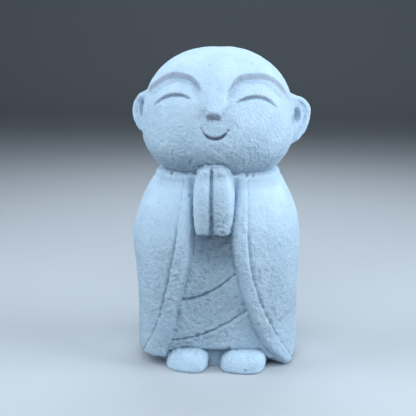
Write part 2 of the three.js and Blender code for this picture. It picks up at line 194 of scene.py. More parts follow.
NECK_CREASE = {"height": 59.5, "width": 0.5}
SLEEVE_CREASE = {"height": 13.5, "tilt": 0.62, "width": 0.6, "depth": 0.42, "from": 17.5, "reach": 4}
OPENING_DEPTH = 7.0
OPENING_COLUMNS = (20, 24)
BAND_COLUMNS = 80
SLEEVE_COLUMNS = 300
CLOAK_ROWS = 380

ROBE_FRONT = ((0, 18.2), (8, 18.4), (25, 18.1), (40, 17.6), (50, 17.8), (58, 17.4))
ROBE_HALF_WIDTH = ((0, 24), (12, 22.6), (40, 19), (62, 13.5))
ROBE_TOP = 62.0
ROBE_BACK = 12.0
ROBE_PLAN = 3.4
ROBE_COLUMNS = 721
ROBE_HEM = (
    (-24, 3), (-18, 3.2), (-13.7, 5.3), (-12, 6.3), (-8.9, 7.2), (-3, 6.6), (5, 6.8), (13, 6.9), (15, 6.5),
    (18, 3.2), (24, 3),
)
HEM_UNDER = 1.1  # how far the flat base reaches up behind the hem
HEM_ROLL = ((0, -0.35), (0.25, -0.08))  # the hem's lowest rings: height over its line, and how far out
HEM_LAP = 0.6
FOLDS = (
    {"middle": 12.5, "tilt": 0.49, "bend": 0.014, "step": 0.8, "groove": 1.1},
    {"middle": 25.5, "tilt": 0.6, "bend": 0.026, "step": 0.8, "groove": 1.1},
    {"middle": 38.9, "tilt": 0.36, "bend": 0.002, "step": 0.4, "groove": 0.25},
)
FOLD_REACH = 0.075  # reach of the groove at a lap's foot, as a share of the lap
LAP_SHARES = (0.004, 0.992)
LAP_ROWS = 70
LAP_SWELL = 1.6
LAP_EDGE = {"from": 0.96, "reach": 0.04, "drop": 0.35}
ROW_GAP = (0.3, 0.002)  # least height over the hem: of the first row, and added for each ring under it
BASE = {"half": 19.0, "front": 15.9, "back": 18.0, "plan": 3.0}

FEET = (
    {"across": 9.4, "half": 7.3, "slant": 0.8},
    {"across": -8.2, "half": 6.8, "slant": 1.8},
)
FOOT_TOE = 22.9
FOOT_LENGTH = 19.0
FOOT_HEIGHT = 6.6
FOOT_PLAN = 3.1
FOOT_RISE = 3.7
FOOT_LEAN = 1.3
FOOT_SOLE = {"drawn_in": 0.05, "height": 0.12}
FOOT_COLUMNS = 241
FOOT_ROWS = 90

HANDS = ({"side": 1, "inner": -0.42, "outer": 6.4}, {"side": -1, "inner": 0.6, "outer": 6.3})
HAND_WRIST = 44.3
HAND_TIP = 65.5
HAND_FRONT = 23.4
HAND_BACK = 11.5
HAND_PLAN = 2.8
HAND_DEPTH_TAPER = 0.8
PALM_PLAN = (3.4, 5.5)  # at the wrists and at the finger tips
WRIST_ROUND = {"share": 0.04, "drawn_in": 0.12}
HAND_WIDTH = (
    (0, 0.86), (0.14, 0.93), (0.35, 0.99), (0.5, 1), (0.68, 0.97), (0.84, 0.86), (0.94, 0.7), (1, 0.36),
)
HAND_COLUMNS = 181
HAND_ROWS = (120, 40)

BROW_SHADE_AND_GRIT = 0.8  # painted shade and added sandiness under the brows, as a share of that in the eyes and the smile
EAR_SHADE_AND_GRIT = 0.6  # and painted shade and added sandiness in the ears' hollows
SKIN_CELL = 0.25  # edge of the cells in which the forms are melted together
SKIN_TRIANGLES = 194000
NEIGHBOUR_PULL = 0.7
HOLLOW_ROUNDS = 14

# Noise over the skin: lattice cell, height and seed. The first list is hand-worked unevenness, the second
# sand.
UNEVENNESS = ((7.0, 0.12, 1), (2.8, 0.07, 2))
SAND_GRAINS = ((1.25, 0.03, 3), (0.8, 0.055, 4))
PITS = {"cell": 0.9, "depth": 0.3, "seed": 5, "rarity": 0.75}
GRIT_PATCHES = {"cell": 8.0, "share": 0.35, "seed": 6}
LATTICE_SIZE = 64
LATTICE_TURN = np.array(
    Matrix.Rotation(0.7, 3, "X") @ Matrix.Rotation(0.6, 3, "Y") @ Matrix.Rotation(0.5, 3, "Z")
)
LATTICE_ORIGIN = 1000.0
SMOOTH_SOLE = (0.2, 0.8)  # height under which the skin stays plain, and the reach of its fade

# Sandiness of the surface at each height, worn smoothest on the crown and on the shoulders.
GRIT = (
    (0, 2.0), (8, 3.2), (22, 3.9), (36, 3.1), (50, 1.4), (61, 0.9), (64, 3.8), (74, 2.6), (84, 1.7),
    (94, 0.9), (100, 0.5),
)
LEAST_GRIT = 0.3
# Rougher and smoother places on the front: across, height, radius and added sandiness.
ROUGH_PLACES = (
    (0.5, 47.5, 6, 3.8), (0.5, 56, 6, 1.2), (1, 37, 7, 3.0), (-14, 20, 6, 0.3), (-2, 15, 9, 0.9),
    (20, 18, 8, 0.8), (-11, 7.5, 2.5, 0.7), (9.4, 3, 5.5, -1.7), (-8.2, 3, 5.5, -1.7), (-9, 62.5, 5, 0.4),
)
# Air holes in the cast surface: across, height and radius.
AIR_HOLES = (
    (-13.5, 61.7, 0.42), (-9.45, 63.6, 0.4), (-7.45, 66.0, 0.34), (-6.1, 64.4, 0.34), (-4.75, 64.7, 0.3),
    (9.8, 61.7, 0.42), (11.6, 61.7, 0.36), (16.6, 62.2, 0.34), (-7.3, 55.8, 0.4), (2.9, 66.1, 0.3),
    (1.65, 62.6, 0.26), (4.94, 6.8, 0.55), (10.5, 1.4, 0.42), (5.9, 4.3, 0.26), (-13.8, 5.2, 0.5),
    (-3.75, 76.9, 0.4), (4.4, 76.4, 0.4),
)
AIR_HOLE_DEPTH = 1.1  # as a share of the radius
AIR_HOLE_FRONT = -8

# Colours of the finish. Every tint after the first multiplies what is under it.
MOTTLE = ((0.3, (0.55, 0.72, 0.86)), (0.7, (0.66, 0.82, 0.94)))
SAND_TINT = ((0.34, (0.72, 0.75, 0.78)), (0.58, (1.0, 1.0, 1.0)))
SAND_TINT_SHARE = 0.55
# Painted shade in the hollows of the skin, darkest in the deepest.
HOLLOW_SHADE_TINT = (
    (0.44, (1.0, 1.0, 1.0)), (0.54, (0.96, 0.965, 0.97)), (0.70, (0.84, 0.845, 0.86)),
    (0.95, (0.6, 0.62, 0.66)),
)
# Painted shade in the carved lines of the face, under the nose's tip and in the ears' hollows.
CARVED_LINE_SHADE_TINT = ((0.0, (1.0, 1.0, 1.0)), (0.6, (0.82, 0.75, 0.76)), (1.0, (0.60, 0.56, 0.58)))
# Painted light and shade: darker under the chin, on the robe under the hands and on the base, paler on the
# feet and the lowest lap.
PAINTED_LIGHT_TINT = ((0.0, (0.75, 0.75, 0.76)), (0.5, (0.92, 0.92, 0.92)), (1.0, (1.0, 1.0, 1.0)))
# Painted shade inside the pinholes, which are sunk only in the bump.
PINHOLE_COLOUR = (0.20, 0.26, 0.33, 1)
PINHOLES = 55  # cells along the height, most of them left without a pinhole
PINHOLE_CHOICE = ((0.80, (0, 0, 0)), (0.86, (1, 1, 1)))
PINHOLE_EDGE = ((0.05, (1, 1, 1)), (0.12, (0, 0, 0)))
BUMP_STRENGTH = 0.9
BUMP_HEIGHT = 0.22
FLOOR_COLOUR = (0.50, 0.52, 0.54, 1)

# Lights: places and sizes in heights of the figure.
LIGHT_COLOUR = (0.795, 0.898, 1.0)
LIGHTS = (
    {"name": "upper_right_light", "place": (2.4, -0.6, 2.6), "size": 2.0, "power": 45},
    {"name": "right_light", "place": (3.2, -0.6, 1.4), "size": 2.0, "power": 69},
    {"name": "upper_left_light", "place": (-2.4, -0.6, 2.6), "size": 2.0, "power": 52},
    {"name": "left_light", "place": (-3.2, -0.6, 1.4), "size": 2.0, "power": 25},
    {"name": "front_light", "place": (0, -2.4, 2.8), "size": 2.4, "power": 70},
    {"name": "back_light", "place": (0, 2.4, 2.8), "size": 2.4, "power": 66},
)
WORLD_COLOUR = (0.62, 0.78, 1.0, 1)
WORLD_STRENGTH = 0.05

# The photograph's view. The shift is in shares of the picture's width.
VIEW = {"azimuth": 4, "elevation": 12, "roll": 0.3, "distance": 3.5, "lens": 93.6, "sensor": 36}
VIEW_SHIFT = (-10 / 416, -5.7 / 416)


def smooth(x):
    """Eases from 0 to 1 as x does."""
    x = np.clip(x, 0, 1)
    return x * x * (3 - 2 * x)


def mix(a, b, share):
    """From a to b by the share."""
    return a + (b - a) * share


def signed_power(x, power):
    """A power of x's size, with x's sign."""
    return np.sign(x) * np.abs(x) ** power


def quarter_round(x):
    """Rises from 0 to 1 as a quarter of a circle does."""
    return np.sqrt(np.clip(1 - (1 - np.clip(x, 0, 1)) ** 2, 0, 1))


def curve(points):
    """A smooth curve through (position, value) points: cubic pieces whose slopes are those of the neighbours'
    chord."""
    at, value = np.array(points, float).T
    before = np.maximum(np.arange(len(at)) - 1, 0)
    after = np.minimum(np.arange(len(at)) + 1, len(at) - 1)
    slope = (value[after] - value[before]) / (at[after] - at[before])

    def along(x):
        x = np.clip(x, at[0], at[-1])
        i = np.clip(np.searchsorted(at, x, side="right") - 1, 0, len(at) - 2)
        span = at[i + 1] - at[i]
        s = (x - at[i]) / span
        bend = (slope[i] * (1 - s) - slope[i + 1] * s) * span + (value[i + 1] - value[i]) * (2 * s - 1)
        return mix(value[i], value[i + 1], s) + s * (1 - s) * bend

    return along


nose_half_width = curve(NOSE_HALF_WIDTH)
nose_side = curve(NOSE_SIDE)
cloak_front = curve(CLOAK_FRONT)
cloak_back = curve(CLOAK_BACK)
robe_front = curve(ROBE_FRONT)
robe_half_width = curve(ROBE_HALF_WIDTH)
robe_hem = curve(ROBE_HEM)


def section(turn, half_width, front, back, plan):
    """x and y of a rounded-square section: each is its half size times a power of the turn's sine or
    cosine."""
    depth = np.where(np.cos(turn) > 0, front, back)
    x = half_width * signed_power(np.sin(turn), 2 / plan)
    return x, -depth * signed_power(np.cos(turn), 2 / plan)


def closed_stack(rings):
    """Vertices and triangles of a stack of closed rings, (rings, points, 3), with a fan over each end."""
    count, around = rings.shape[:2]
    poles = np.stack([rings[0].mean(axis=0), rings[-1].mean(axis=0)])
    points = np.concatenate([rings.reshape(-1, 3), poles])
    row = np.arange(count - 1)[:, None] * around
    here = np.arange(around)[None, :]
    after = (here + 1) % around
    a, b, c, d = row + here, row + after, row + around + after, row + around + here
    sides = [np.stack(corners, -1).reshape(-1, 3) for corners in ([a, b, c], [a, c, d])]
    bottom = np.stack([np.full(around, count * around), after[0], here[0]], -1)
    last = (count - 1) * around
    top = np.stack([np.full(around, count * around + 1), last + here[0], last + after[0]], -1)
    return points, np.concatenate([*sides, bottom, top])


def new_piece(name, points, triangles):
    """A mesh object from arrays of vertices and triangles."""
    mesh = bpy.data.meshes.new(name)
    mesh.vertices.add(len(points))
    mesh.vertices.foreach_set("co", points.astype(np.float32).ravel())
    mesh.loops.add(triangles.size)
    mesh.loops.foreach_set("vertex_index", triangles.astype(np.int32).ravel())
    mesh.polygons.add(len(triangles))
    mesh.polygons.foreach_set("loop_start", np.arange(0, triangles.size, 3, dtype=np.int32))
    mesh.update(calc_edges=True)
    mesh.validate()
    piece = bpy.data.objects.new(name, mesh)
    bpy.context.scene.collection.objects.link(piece)
    return piece


def shade_smooth(piece):
    piece.data.polygons.foreach_set("use_smooth", np.ones(len(piece.data.polygons), bool))


def brow_line(x):
    """Height of the brow's upper edge: an arch whose two arms fall by their own powers of the distance."""
    line = np.zeros_like(x)
    for side, brow in BROWS.items():
        away = (x * side - brow["across"]) / BROW_REACH
        arms = (brow["inner"], brow["outer"])
        inner, outer = (drop * np.minimum(np.abs(away), end) ** power for drop, power, end in arms)
        line = np.where(x * side >= 0, brow["top"] - np.where(away < 0, inner, outer), line)
    return line


def eye_line(x, side, eye):
    """Height of a closed eye's arch: a power of the distance, with its own fall on each side."""
    away = (x * side - eye["across"]) / EYE_REACH
    return eye["top"] - np.where(away < 0, eye["inner"], eye["outer"]) * np.abs(away) ** EYE_POWER


def eye_share(x, side, eye):
    """How much of an eye's cut there is at each distance across: all of it in the middle, none past its
    ends."""
    return np.clip(1 - np.abs((x * side - eye["middle"]) / EYE_HALF) ** EYE_ENDS, 0, 1) * (x * side > 0)


def mouth_line(x):
    """Height of the smile: a power of the distance, turned up."""
    return MOUTH_TOP + MOUTH_CURL * np.abs((x - MOUTH_MIDDLE) / MOUTH_HALF) ** MOUTH_POWER


def mouth_share(x):
    """How much of the smile's cut there is at each distance across."""
    return np.clip(1 - np.abs((x - MOUTH_MIDDLE) / MOUTH_HALF) ** MOUTH_ENDS, 0, 1)


def cut(below, share, slope, edge, depth):
    """Depth of a carved line: it slopes in under its upper edge and comes back at a short, crisp lower
    edge."""
    slope = np.maximum(slope * np.sqrt(share), 0.05)
    inwards = np.clip(below / slope, 0, 1)
    outwards = np.clip((slope + edge - below) / edge, 0, 1)
    return -depth * share * np.where(below < slope, inwards, outwards)


def socket_foot(z):
    """Eases in the eye sockets from the cheeks upwards."""
    return smooth((z - SOCKET_FOOT[0]) / (SOCKET_FOOT[1] - SOCKET_FOOT[0]))


def socket_relief(x, z):
    """Depth of the eye sockets: a ledge under the brow, which fades down the cheek and out to the temple."""
    under = brow_line(x) - z
    temple = 1 - smooth((np.abs(x) - TEMPLE[0]) / (TEMPLE[1] - TEMPLE[0]))
    cheek = (1 - np.clip((under - BROW_LEDGE) / BROW_FADE, 0, 1)) ** BROW_FADE_POWER
    return -BROW_DEPTH * temple * cheek * socket_foot(z) * np.clip(under / BROW_LEDGE, 0, 1)


def nose_relief(x, z):
    """The nose's ridge, which rises as the square of the way down to its tip, and how far each point is on
    it."""
    along = np.clip((NOSE_ROOT - z) / (NOSE_ROOT - NOSE_TIP), 0, 1)
    tip = np.where(z > NOSE_TIP, along**2, np.clip((z - NOSE_BASE) / (NOSE_TIP - NOSE_BASE), 0, 1))
    half = nose_half_width(z)
    ridge = NOSE_RISE * tip * (1 - NOSE_ROUNDING * np.minimum(np.abs(x) / half, 1) ** 2)
    on_nose = (1 - smooth((np.abs(x) - half) / nose_side(z) + 0.5)) * np.clip(z - NOSE_BASE, 0, 1)
    return ridge, on_nose


def face_relief(x, z):
    """How far the carved face stands out from the plain head: sockets under the brows, nose, eyes and
    smile."""
    ridge, on_nose = nose_relief(x, z)
    relief = mix(socket_relief(x, z), ridge, on_nose)
    for side, eye in EYES.items():
        relief = relief + cut(eye_line(x, side, eye) - z, eye_share(x, side, eye), **EYE_CUT)
    return relief + cut(mouth_line(x) - z, mouth_share(x), **MOUTH_CUT)


def head():
    """A superellipsoid: level sections shrink as (1 - level^rise)^(1/spread), with the face added to its
    front."""
    share = np.linspace(-1, 1, HEAD_COLUMNS)
    turn = np.pi * mix(share, share * np.abs(share), FACE_COLUMNS)[:-1][None, :]
    level = np.sin(np.linspace(-1, 1, HEAD_ROWS) * np.pi / 2)[:, None]
    level = np.clip(level, *HEAD_ENDS)
    z = HEAD_MIDDLE + np.where(level > 0, HEAD_ABOVE, HEAD_BELOW) * level
    size = (1 - np.abs(level) ** HEAD_RISE) ** (1 / HEAD_SPREAD)
    x, y = section(turn, HEAD_HALF_WIDTH * size, HEAD_FRONT * size, HEAD_BACK * size, HEAD_PLAN)
    z = np.broadcast_to(z, x.shape)
    plain = np.stack([x, y, z], -1)
    outwards = plain - np.array([0, 0, HEAD_MIDDLE])
    outwards /= np.linalg.norm(outwards, axis=-1, keepdims=True)
    ahead = smooth((np.cos(turn) - FACE_EDGE[0]) / FACE_EDGE[1])
    return closed_stack(plain + outwards * (face_relief(x, z) * ahead)[..., None])


def ear(side, middle, up, down, reach, hollow, size):
    """A rounded flap, turned half to the front: a rim that thickens towards its edge, and a dug hollow by the
    head."""
    half = EAR_ROOT + (reach - HEAD_HALF_WIDTH) / math.cos(EAR_TURN)
    around = side * np.linspace(0, 2 * np.pi, EAR_COLUMNS)[:-1][None, :]
    path = np.linspace(0.02, 0.98, EAR_ROWS)[:, None]
    spread = np.sin(path * np.pi) ** 0.5
    tall = np.where(np.sin(around) > 0, up, down)
    out = half * spread * np.cos(around)
    high = tall * spread * np.sin(around)
    thick = EAR_THICKNESS / 2 * signed_power(-np.cos(path * np.pi), 0.6) * np.ones_like(around)
    rim = smooth((EAR_RIM[0] - spread) / EAR_RIM[1])
    bowl = smooth((EAR_BOWL[0] - spread) / EAR_BOWL[1])
    u = (out - half + hollow[0] + (reach - HEAD_HALF_WIDTH)) / size[0]
    v = (high - hollow[1]) / size[1]
    pit = EAR_HOLLOW * smooth((EAR_HOLLOW_EDGE[0] - np.sqrt(u * u + v * v)) / EAR_HOLLOW_EDGE[1])
    thick = thick - np.where(path > 0.5, EAR_DISH * (rim + EAR_BOWL[2] * bowl) + pit, 0)
    centre_x = reach - half * math.cos(EAR_TURN)
    x = side * (centre_x + out * math.cos(EAR_TURN) + thick * math.sin(EAR_TURN))
    y = EAR_BACK + out * math.sin(EAR_TURN) - thick * math.cos(EAR_TURN)
    return closed_stack(np.stack([x, y, middle + high], -1))


def band_relief(place, groove):
    """Across the band: a wall up from the opening, a rounded raised band, a groove cut that deep, then the
    sleeve."""
    wall = smooth((place - BAND_WALL[0]) / BAND_WALL[1])
    inner = quarter_round((place - 1) / BAND_ROUND[0])
    outer = quarter_round((2 - place) / BAND_ROUND[1])
    band = np.where(place > 1.5, mix(-groove, BAND_RISE, outer), BAND_RISE * inner)
    sleeve = -groove * (1 - smooth((place - 2) / GROOVE_BANK))
    relief = np.where(place < 1, mix(-OPENING_DEPTH, 0, wall), band)
    return np.where(place > 2, sleeve, relief)


def sleeve_crease(x, y, z):
    """Depth of the slack fold that climbs outwards across the lower part of one sleeve."""
    above = z - SLEEVE_CREASE["height"] - SLEEVE_CREASE["tilt"] * (x - SLEEVE_CREASE["from"])
    share = smooth((x - SLEEVE_CREASE["from"]) / SLEEVE_CREASE["reach"]) * (1 - smooth((y + 12) / 10))
    return SLEEVE_CREASE["depth"] * share * np.exp(-((above / SLEEVE_CREASE["width"]) ** 2))


def cloak_side(data, place, share):
    """One side of the cloak. Each point lies on the rounded-square section at its height, turned so that
    places 1 and 2 run along the band's inner edge and groove, and is moved out by the band's relief."""
    low = curve(data["hem"])(place)
    z = low + (COLLAR_EDGE - low) * share
    half_width = curve(data["outline"])(z)
    plan = mix(PLAN_LOW, PLAN_HIGH, np.clip(z / CLOAK_TOP, 0, 1))
    edges = (curve(data["inner"])(z), curve(data["groove"])(z))
    first, second = (np.arcsin(np.clip(edge / half_width, 0, 1) ** (plan / 2)) for edge in edges)
    beyond = np.where(place < 2, mix(first, second, place - 1), mix(second, np.pi, place - 2))
    turn = np.where(place < 1, first * place, beyond)
    rounding = HEM_ROUND["depth"] * (1 - quarter_round((z - low) / HEM_ROUND["height"]))
    rounding = np.where(place < 1, 0, rounding)
    lip = np.exp(-(((z - COLLAR_EDGE + COLLAR_LIP["below"]) / COLLAR_LIP["width"]) ** 2))
    lip = COLLAR_LIP["rise"] * lip * (place > 1)
    fade = smooth((z - GROOVE_FADE[0]) / (GROOVE_FADE[1] - GROOVE_FADE[0]))
    neck = data["neck"] * np.exp(-(((z - NECK_CREASE["height"]) / NECK_CREASE["width"]) ** 2))
    out = band_relief(place, GROOVE_DEPTH * mix(1, GROOVE_LEFT, fade))
    out = out - rounding + lip - neck * smooth((place - 1.9) / 0.1)
    x, y = section(turn, half_width + out, cloak_front(z) + out, cloak_back(z) + out, plan)
    if data["side"] > 0:
        x = x - sleeve_crease(x, y, z)
    return np.stack([data["side"] * x, y, z * np.ones_like(x)], -1)


def cloak():
    """Rings from hem to collar, joined from both sides, with a last ring inside the head."""
    opening = [np.linspace(0, 0.9, OPENING_COLUMNS[0]), np.linspace(0.91, 0.995, OPENING_COLUMNS[1])]
    band = np.linspace(1, 2, BAND_COLUMNS, endpoint=False)
    sleeve = 2 + np.linspace(0, 1, SLEEVE_COLUMNS) ** 1.6
    place = np.concatenate([*opening, band, sleeve])[None, :]
    share = (np.linspace(0, 1, CLOAK_ROWS) ** 1.15)[:, None]
    left, right = (cloak_side(data, place, share) for data in CLOAK_SIDES)
    rings = np.concatenate([left, right[:, 1:-1][:, ::-1]], axis=1)
    rim = rings[-1:].copy()
    rim[..., :2] *= COLLAR_INNER / CLOAK_SIDES[0]["outline"][-1][1]
    rim[..., 2] = CLOAK_TOP
    return closed_stack(np.concatenate([rings, rim]))


def fold_line(fold):
    """Height of a fold at each distance across: a slanting line with a slight bend."""
    return lambda x: fold["middle"] + fold["tilt"] * x + fold["bend"] * x * x


def robe_ring(turn, line, out):
    """A ring of the robe whose every point is at its line's height for its own distance across."""
    z = line(np.zeros_like(turn))
    for _ in range(6):
        x, y = section(turn, robe_half_width(z), robe_front(z) + out, ROBE_BACK, ROBE_PLAN)
        z = line(x)
    return np.stack([x, y, z], -1)


def base_ring(turn, line):
    x, y = section(turn, BASE["half"], BASE["front"], BASE["back"], BASE["plan"])
    return np.stack([x, y, line(x)], -1)


def robe():
    """The flat base and, over it, the robe. Rows follow the folds: a lap swells towards its upper edge, which
    stands over the next lap's groove."""
    turn = np.linspace(-np.pi, np.pi, ROBE_COLUMNS)[:-1]
    lines = [lambda x: robe_hem(x) + HEM_LAP]
    lines += [fold_line(fold) for fold in FOLDS]
    lines += [lambda x: np.full_like(x, ROBE_TOP)]
    rings = [base_ring(turn, np.zeros_like), base_ring(turn, lambda x: robe_hem(x) - HEM_UNDER)]
    rings += [robe_ring(turn, lambda x, over=over: robe_hem(x) + over, out) for over, out in HEM_ROLL]
    for lap, (low, high) in enumerate(zip(lines[:-1], lines[1:])):
        step = FOLDS[lap]["step"] if lap < len(FOLDS) else 0.0
        groove = FOLDS[lap - 1]["groove"] if lap else 0.0
        for share in np.linspace(*LAP_SHARES, LAP_ROWS):
            edge = 1 - LAP_EDGE["drop"] * np.clip((share - LAP_EDGE["from"]) / LAP_EDGE["reach"], 0, 1) ** 2
            out = step * share**LAP_SWELL * edge - groove * (1 - smooth(share / FOLD_REACH))
            lowest = ROW_GAP[0] + len(rings) * ROW_GAP[1]
            rings.append(
                robe_ring(
                    turn,
                    lambda x: np.maximum(mix(low(x), high(x), share), robe_hem(x) + lowest),
                    out,
                )
            )
    return closed_stack(np.stack(rings))


def foot(across, half, slant):
    """A low dome: level sections shrink as (1 - height^rise)^(1/plan), over a slightly drawn-in sole. The
    dome leans a little to one side, and its toes reach further forwards on that side by the slant."""
    share = (np.sin(np.linspace(0, np.pi / 2, FOOT_ROWS)) * 0.995)[:, None]
    size = (1 - share**FOOT_RISE) ** (1 / FOOT_PLAN)
    size = size * (1 - FOOT_SOLE["drawn_in"] * (1 - smooth(share / FOOT_SOLE["height"])))
    turn = np.linspace(0, 2 * np.pi, FOOT_COLUMNS)[:-1][None, :]
    x, y = section(turn, half * size, FOOT_LENGTH / 2 * size, FOOT_LENGTH / 2 * size, FOOT_PLAN)
    y = y - slant * x / half - FOOT_TOE + FOOT_LENGTH / 2
    x = across + x + FOOT_LEAN * (share - 0.5)
    return closed_stack(np.stack([x, y, share * FOOT_HEIGHT * np.ones_like(x)], -1))


def hand(side, inner, outer):
    """A tall half bean with a straight cut at the wrist: level sections follow the width curve from a fixed
    inner edge, flattest where the palms meet."""
    tip = 0.9 + 0.1 * np.sin(np.linspace(0.02, np.pi / 2, HAND_ROWS[1]))
    share = np.concatenate([np.linspace(0, 0.9, HAND_ROWS[0]), tip])[:, None]
    size = curve(HAND_WIDTH)(share)
    size = size * (1 - WRIST_ROUND["drawn_in"] * (1 - quarter_round(share / WRIST_ROUND["share"])))
    half = (outer - inner) / 2 * size
    depth = (HAND_FRONT - HAND_BACK) / 2 * mix(1, size, HAND_DEPTH_TAPER)
    turn = np.linspace(0, 2 * np.pi, HAND_COLUMNS)[:-1][None, :]
    plan = np.where(side * np.sin(turn) < 0, mix(*PALM_PLAN, share), HAND_PLAN)
    x, y = section(turn, half, depth, depth, plan)
    z = mix(HAND_WRIST, HAND_TIP, share) * np.ones_like(x)
    return closed_stack(np.stack([side * (inner + half) + x, y - (HAND_FRONT + HAND_BACK) / 2, z], -1))


def lattice_noise(points, size, seed):
    """Smooth noise from -1 to 1: random values on a turned cubic lattice of that cell size, blended with
    eased weights."""
    table = np.random.default_rng(seed).uniform(-1, 1, (LATTICE_SIZE,) * 3)
    place = points @ LATTICE_TURN / size + LATTICE_ORIGIN
    cell = np.floor(place).astype(int)
    x, y, z = np.moveaxis(smooth(place - cell), -1, 0)
    i, j, k = np.moveaxis(cell, -1, 0)
    total = np.zeros(len(points))
    for a, b, c in np.ndindex(2, 2, 2):
        weight = np.where(a, x, 1 - x) * np.where(b, y, 1 - y) * np.where(c, z, 1 - z)
        total += weight * table[(i + a) % LATTICE_SIZE, (j + b) % LATTICE_SIZE, (k + c) % LATTICE_SIZE]
    return total


def layered_noise(place, layers):
    """The sum of lattice noises, each of its own cell, height and seed."""
    return sum(height * lattice_noise(place, size, seed) for size, height, seed in layers)


def evaluated(piece, name):
    """A plain mesh object of the piece as its modifiers leave it; the piece itself is removed."""
    bpy.context.view_layer.update()
    source = piece.evaluated_get(bpy.context.evaluated_depsgraph_get())
    mesh = bpy.data.meshes.new_from_object(source)
    mesh.name = name
    bpy.data.objects.remove(piece)
    made = bpy.data.objects.new(name, mesh)
    bpy.context.scene.collection.objects.link(made)
    return made


def melted(forms):
    """All forms as one skin: re-made in cells, then eased so that edges are as soft as a casting's."""
    offsets = np.cumsum([0] + [len(points) for points, _ in forms[:-1]])
    points = np.concatenate([points for points, _ in forms]) * UNIT
    triangles = np.concatenate([faces + offset for (_, faces), offset in zip(forms, offsets)])
    rough = new_piece("joined_forms", points, triangles)
    cells = rough.modifiers.new("cells", "REMESH")
    cells.mode = "VOXEL"
    cells.voxel_size = SKIN_CELL * UNIT
    ease = rough.modifiers.new("ease", "SMOOTH")
    ease.factor = 0.5
    ease.iterations = 1
    return evaluated(rough, "skin")


def vertex_values(piece, name):
    """The piece's vertex places ("co") or normals ("normal"), one row each."""
    values = np.empty(len(piece.data.vertices) * 3, np.float32)
    piece.data.vertices.foreach_get(name, values)
    return values.reshape(-1, 3).astype(float)


def move_vertices(piece, points):
    piece.data.vertices.foreach_set("co", points.astype(np.float32).ravel())
    piece.data.update()


def edge_ends(piece):
    """The two vertices of each edge, one row each."""
    edges = np.empty(len(piece.data.edges) * 2, np.int32)
    piece.data.edges.foreach_get("vertices", edges)
    return edges.reshape(-1, 2)


def surroundings(points, edges, rounds):
    """Where each vertex comes to lie when it moves, again and again, most of the way to its neighbours'
    middle."""
    first, second = edges.T
    count = np.bincount(first, minlength=len(points)) + np.bincount(second, minlength=len(points))

    def neighbour_sum(column):
        ahead = np.bincount(first, column[second], len(points))
        return ahead + np.bincount(second, column[first], len(points))

    for _ in range(rounds):
        total = np.stack([neighbour_sum(column) for column in points.T], -1)
        points = mix(points, total / count[:, None], NEIGHBOUR_PULL)
    return points


def eased_joints(skin):
    """Lets the places where an ear grows out of the head run together, by moving their vertices to where long
    averaging along the edges takes them."""
    place = vertex_values(skin, "co") / UNIT
    x, y, z = place.T
    ways = ((np.abs(x), EAR_JOINT["across"]), (z, EAR_JOINT["up"]), (y, EAR_JOINT["back"]))
    beside = 1.0
    for at, (middle, half, power) in ways:
        beside = beside * np.exp(-(((at - middle) / half) ** power))
    eased = mix(place, surroundings(place, edge_ends(skin), EAR_JOINT_ROUNDS), beside[:, None])
    move_vertices(skin, eased * UNIT)
    return skin


def grit(place):
    """Sandiness at each point: the curve over the height, uneven by slow noise, and more or less at the rough
    and smooth places and in carved lines."""
    x, y, z = place.T
    patches = lattice_noise(place, GRIT_PATCHES["cell"], GRIT_PATCHES["seed"])
    amount = curve(GRIT)(z) * (1 + GRIT_PATCHES["share"] * patches)
    for across, height, radius, more in ROUGH_PLACES:
        amount += more * np.exp(-((x - across) ** 2 + (z - height) ** 2) / radius**2) * (y < 0)
    return np.maximum(amount + carved(place), LEAST_GRIT)


def air_holes(place):
    """Depth of the air holes: round dents, each about as deep as its radius, in the front of the casting."""
    x, y, z = place.T
    depth = np.zeros(len(place))
    for across, height, radius in AIR_HOLES:
        away = ((x - across) ** 2 + (z - height) ** 2) / radius**2
        depth += AIR_HOLE_DEPTH * radius * np.exp(-(away**2)) * (y < AIR_HOLE_FRONT)
    return depth


def weathered(skin):
    """Moves every vertex along its normal by noise: hand-worked unevenness, sand grain and small pits."""
    points = vertex_values(skin, "co")
    place = points / UNIT
    coarse = layered_noise(place, UNEVENNESS)
    grain = layered_noise(place, SAND_GRAINS)
    pits = np.clip(lattice_noise(place, PITS["cell"], PITS["seed"]) - PITS["rarity"], 0, 1)
    pits = -PITS["depth"] * pits / (1 - PITS["rarity"])
    above_sole = smooth((place[:, 2] - SMOOTH_SOLE[0]) / SMOOTH_SOLE[1])
    move = (coarse + grit(place) * grain + pits - air_holes(place)) * above_sole
    points += vertex_values(skin, "normal") * (move * UNIT)[:, None]
    points[:, 2] = np.maximum(points[:, 2], FLOOR_LEVEL)
    move_vertices(skin, points)
    return skin


def thinned(skin):
    """The skin with flat stretches thinned to the wanted number of triangles, shaded smooth."""
    triangles = sum(len(face.vertices) - 2 for face in skin.data.polygons)
    thin = skin.modifiers.new("thin", "DECIMATE")
    thin.ratio = min(1, SKIN_TRIANGLES / triangles)
    thin.use_collapse_triangulate = True
    casting = evaluated(skin, "jizo_figure")
    shade_smooth(casting)
    return casting


def line_mark(below):
    """How far a point is in a carved line, from its distance under the line as a share of the line's
    slope."""
    return smooth((below + 0.1) / 0.3) * smooth((1.2 - below) / 0.3)


def brow_mark(x, z):
    """Painted shade, with added sandiness, along the ledge under each brow, left out over the bridge of the
    nose.
    """
    under = (brow_line(x) - z) / BROW_LEDGE
    bridge = smooth((np.abs(x) - BRIDGE[0]) / (BRIDGE[1] - BRIDGE[0]))
    return BROW_SHADE_AND_GRIT * socket_foot(z) * bridge * smooth((under + 0.05) / 0.2) * smooth((1.15 - under) / 0.25)


def nose_mark(x, z):
    """The shaded underside of the nose's tip."""
    tip = (z - NOSE_BASE) / (NOSE_TIP - NOSE_BASE)
    return smooth((1.1 - tip) / 0.3) * smooth(tip / 0.15) * smooth((2.6 - np.abs(x)) / 0.7)


